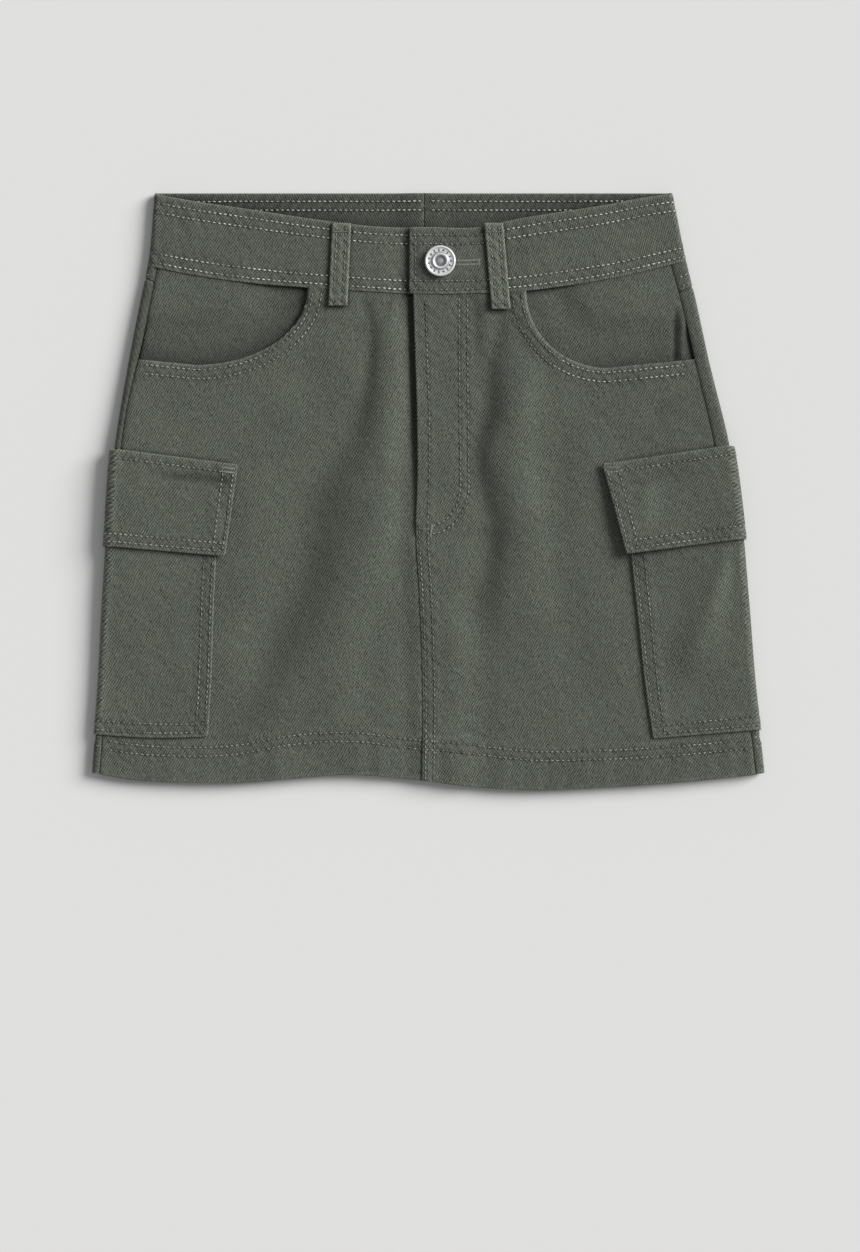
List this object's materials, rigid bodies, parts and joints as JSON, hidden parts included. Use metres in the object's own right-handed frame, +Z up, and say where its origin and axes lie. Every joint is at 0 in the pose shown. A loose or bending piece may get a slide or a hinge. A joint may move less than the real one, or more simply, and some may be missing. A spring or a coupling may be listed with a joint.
{
  "type": "cargo skirt",
  "caption": "Short twill cargo skirt lying flat, front up: buttoned waistband with belt loops, fly, scoop pockets, flapped patch pockets over the side folds and a turned-up hem.",
  "frame": {"origin": "centre of the footprint of the skirt as it lies, on the surface under it", "axes": "+Z up from the surface, out of the skirt's front; +Y from hem to waist; +X to the viewer's right, across the skirt"},
  "size_m": [0.368, 0.3266, 0.0106],
  "materials": {
    "twill": "grey-green cotton twill with a dry, slightly worn hand",
    "thread": "matching polyester topstitching thread, a shade lighter than the cloth",
    "button_metal": "antique-silver plated shank button with a greyed centre",
    "zip_tape": "woven zip tape, hidden under the fly"
  },
  "bodies": {
    "root": {"front_panel_left": "twill", "front_panel_right": "twill", "pocket_facing_left": "twill", "pocket_facing_right": "twill", "back_panel": "twill", "back_yoke": "twill", "waistband_left": "twill", "waistband_right": "twill", "belt_loop_front_left": "twill", "belt_loop_front_right": "twill", "belt_loop_back": "twill", "cargo_pocket_left": "twill", "cargo_pocket_right": "twill", "cargo_flap_left": "twill", "cargo_flap_right": "twill", "waist_button": "button_metal", "fly_zip": "zip_tape"}
  },
  "joints": []
}
